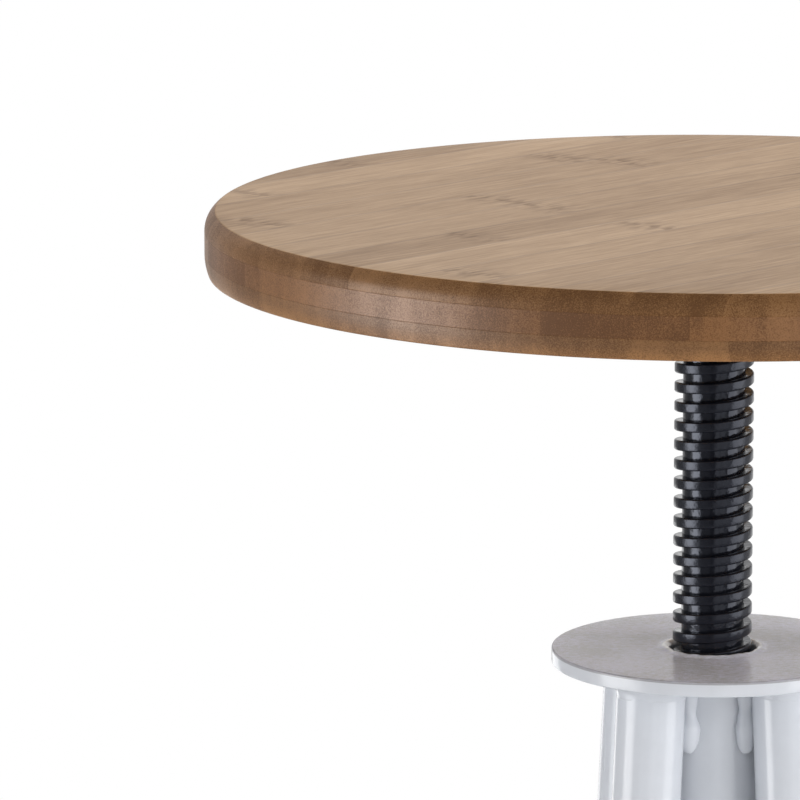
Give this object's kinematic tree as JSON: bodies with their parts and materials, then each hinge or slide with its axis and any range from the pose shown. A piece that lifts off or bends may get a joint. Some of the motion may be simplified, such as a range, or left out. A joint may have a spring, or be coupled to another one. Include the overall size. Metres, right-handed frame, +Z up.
{
  "type": "bar stool",
  "caption": "Height-adjustable bar stool: round laminated wooden seat on a threaded spindle that winds up and down in a splayed, white-painted tube base with a ring footrest.",
  "frame": {"origin": "on the floor, under the lead screw's axis, at the middle of the four feet", "axes": "+Z up along the lead screw, +X to the right of a viewer who faces the stool, +Y away from that viewer; the legs stand on the diagonals"},
  "size_m": [0.3496, 0.3496, 0.7448],
  "materials": {
    "seat_wood": "satin lacquer on bamboo strips",
    "core_wood": "satin lacquer on end-grain bamboo strips",
    "black_paint": "gloss black enamel",
    "white_paint": "gloss white powder coat",
    "zinc_steel": "bright zinc plate",
    "insert_brass": "machined",
    "bush_plastic": "natural nylon",
    "grey_plastic": "moulded, fine matt"
  },
  "bodies": {
    "frame": {"top_plate": "white_paint", "column_tube": "white_paint", "column_plug": "grey_plastic", "spindle_nut": "zinc_steel", "leg_front_left": "white_paint", "leg_front_right": "white_paint", "leg_back_left": "white_paint", "leg_back_right": "white_paint", "leg_plate_welds": "white_paint", "leg_column_welds": "white_paint", "footrest_ring": "white_paint", "footrest_welds": "white_paint", "glide_front_left": "grey_plastic", "glide_front_right": "grey_plastic", "glide_back_left": "grey_plastic", "glide_back_right": "grey_plastic"},
    "lift": {"guide_bush": "bush_plastic"},
    "seat": {"seat_top_ply": "seat_wood", "seat_core_ply": "core_wood", "seat_bottom_ply": "seat_wood", "seat_inserts": "insert_brass", "seat_mount_plate": "black_paint", "seat_bolts": "zinc_steel", "screw_spindle": "black_paint", "spindle_weld": "black_paint", "stop_washer": "zinc_steel", "stop_bolt": "zinc_steel"}
  },
  "joints": [
    {"name": "seat_lift", "type": "slide", "parent": "frame", "child": "lift", "axis": [0, 0, 1], "range_m": [-0.11113, 0.0127]},
    {"name": "seat_turn", "type": "hinge", "parent": "lift", "child": "seat", "pos_m": [0, 0, 0.6], "axis": [0, 0, 1], "range_deg": [-6300, 720]}
  ],
  "couplings": [
    {"joint": "seat_lift", "follows": "seat_turn", "m_per_rad": 0.0010106}
  ]
}
